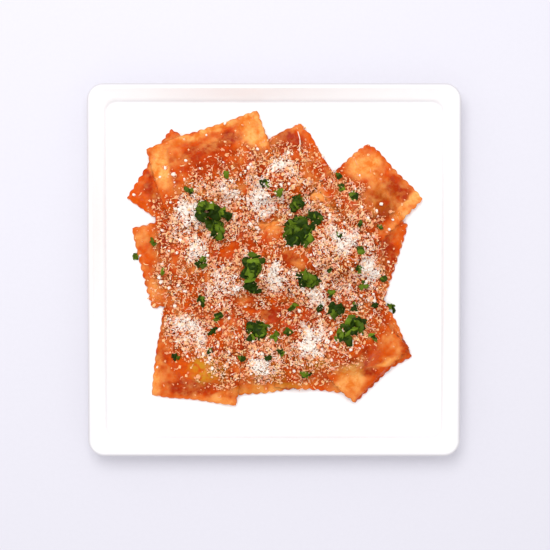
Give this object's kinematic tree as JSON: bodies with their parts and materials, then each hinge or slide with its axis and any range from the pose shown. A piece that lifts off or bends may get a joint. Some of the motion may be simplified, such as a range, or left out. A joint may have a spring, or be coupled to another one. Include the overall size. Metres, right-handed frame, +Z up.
{
  "type": "plate of ravioli",
  "caption": "Square white moulded-fibre plate with a heap of filled square ravioli in tomato sauce, grated cheese and chopped parsley.",
  "frame": {"origin": "middle of the plate's flat underside, on the surface that it stands on", "axes": "+Z up; +X to the right and -Y towards the diner, both along the plate's straight sides"},
  "size_m": [0.203, 0.203, 0.0248],
  "materials": {
    "moulded_fibre": "matte",
    "pasta": "satin",
    "sauced_pasta": "satin"
  },
  "bodies": {
    "root": {"plate": "moulded_fibre", "ravioli_left_under": "sauced_pasta", "ravioli_back": "sauced_pasta", "ravioli_left": "sauced_pasta", "ravioli_right_under": "sauced_pasta", "ravioli_right_front_under": "sauced_pasta", "ravioli_front_left_under": "sauced_pasta", "ravioli_centre_under": "sauced_pasta", "ravioli_front_middle": "sauced_pasta", "ravioli_front_left": "pasta", "ravioli_back_left_wide": "pasta", "ravioli_back_right": "pasta", "ravioli_front_right": "pasta", "ravioli_top_left": "pasta", "ravioli_top_right": "pasta"}
  },
  "joints": []
}
